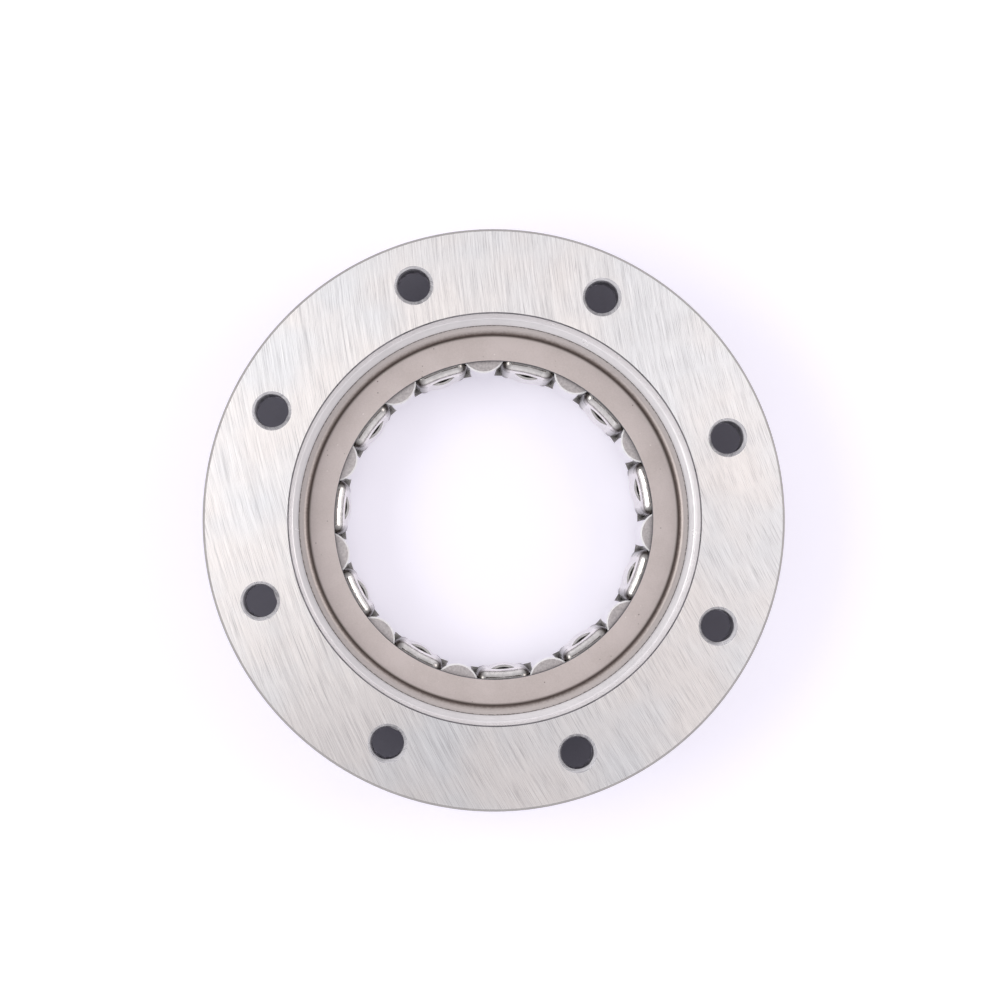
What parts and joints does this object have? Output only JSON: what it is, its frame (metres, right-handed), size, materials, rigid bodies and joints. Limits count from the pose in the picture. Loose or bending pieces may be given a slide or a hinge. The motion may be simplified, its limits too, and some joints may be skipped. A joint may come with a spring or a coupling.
{
  "type": "roller starter clutch",
  "caption": "Flanged one-way roller clutch for a starter: a bolted ring whose sprung caged rollers grip a round boss in one direction and let it run free in the other.",
  "frame": {"origin": "on the clutch axis, on the underside of the housing", "axes": "+Z along the clutch axis towards the flange face; +X and +Y in the plane of the flange, 19.3 degrees before the first bolt hole"},
  "size_m": [0.113, 0.113, 0.0255],
  "materials": {
    "ground_steel": "ground steel, long fine scratches",
    "race_steel": "hardened and ground steel",
    "tan_plate_steel": "tumbled hardened steel with a tan phosphate film",
    "spring_steel": "oiled spring steel",
    "cage_steel": "bright pressed sheet steel",
    "roller_steel": "ground bearing steel, gray ends"
  },
  "bodies": {
    "housing": {"flange_housing": "ground_steel", "cam_race": "race_steel", "upper_side_plate": "tan_plate_steel", "lower_side_plate": "tan_plate_steel", "snap_ring": "spring_steel"},
    "cage": {"roller_cage": "cage_steel", "spring_01": "spring_steel", "spring_02": "spring_steel", "spring_03": "spring_steel", "spring_04": "spring_steel", "spring_05": "spring_steel", "spring_06": "spring_steel", "spring_07": "spring_steel", "spring_08": "spring_steel", "spring_09": "spring_steel", "spring_10": "spring_steel", "spring_11": "spring_steel"},
    "roller_01": {"roller_01": "roller_steel"},
    "roller_02": {"roller_02": "roller_steel"},
    "roller_03": {"roller_03": "roller_steel"},
    "roller_04": {"roller_04": "roller_steel"},
    "roller_05": {"roller_05": "roller_steel"},
    "roller_06": {"roller_06": "roller_steel"},
    "roller_07": {"roller_07": "roller_steel"},
    "roller_08": {"roller_08": "roller_steel"},
    "roller_09": {"roller_09": "roller_steel"},
    "roller_10": {"roller_10": "roller_steel"},
    "roller_11": {"roller_11": "roller_steel"}
  },
  "joints": [
    {"name": "cage_swing", "type": "hinge", "parent": "housing", "child": "cage", "pos_m": [0, 0, 0.0098], "axis": [0, 0, 1], "range_deg": [-2, 0], "stiffness_Nm_per_rad": 0.5, "springref_deg": 1.15, "deforming": ["spring_01", "spring_02", "spring_03", "spring_04", "spring_05", "spring_06", "spring_07", "spring_08", "spring_09", "spring_10", "spring_11"]},
    {"name": "roller_01_lift", "type": "slide", "parent": "cage", "child": "roller_01", "axis": [0.8821, 0.471, 0], "range_m": [0, 0.0007]},
    {"name": "roller_02_lift", "type": "slide", "parent": "cage", "child": "roller_02", "axis": [0.4874, 0.8732, 0], "range_m": [0, 0.0007]},
    {"name": "roller_03_lift", "type": "slide", "parent": "cage", "child": "roller_03", "axis": [-0.062, 0.9981, 0], "range_m": [0, 0.0007]},
    {"name": "roller_04_lift", "type": "slide", "parent": "cage", "child": "roller_04", "axis": [-0.5918, 0.8061, 0], "range_m": [0, 0.0007]},
    {"name": "roller_05_lift", "type": "slide", "parent": "cage", "child": "roller_05", "axis": [-0.9336, 0.3582, 0], "range_m": [0, 0.0007]},
    {"name": "roller_06_lift", "type": "slide", "parent": "cage", "child": "roller_06", "axis": [-0.9791, -0.2034, 0], "range_m": [0, 0.0007]},
    {"name": "roller_07_lift", "type": "slide", "parent": "cage", "child": "roller_07", "axis": [-0.7137, -0.7005, 0], "range_m": [0, 0.0007]},
    {"name": "roller_08_lift", "type": "slide", "parent": "cage", "child": "roller_08", "axis": [-0.2217, -0.9751, 0], "range_m": [0, 0.0007]},
    {"name": "roller_09_lift", "type": "slide", "parent": "cage", "child": "roller_09", "axis": [0.3407, -0.9402, 0], "range_m": [0, 0.0007]},
    {"name": "roller_10_lift", "type": "slide", "parent": "cage", "child": "roller_10", "axis": [0.7949, -0.6067, 0], "range_m": [0, 0.0007]},
    {"name": "roller_11_lift", "type": "slide", "parent": "cage", "child": "roller_11", "axis": [0.9967, -0.0807, 0], "range_m": [0, 0.0007]}
  ]
}
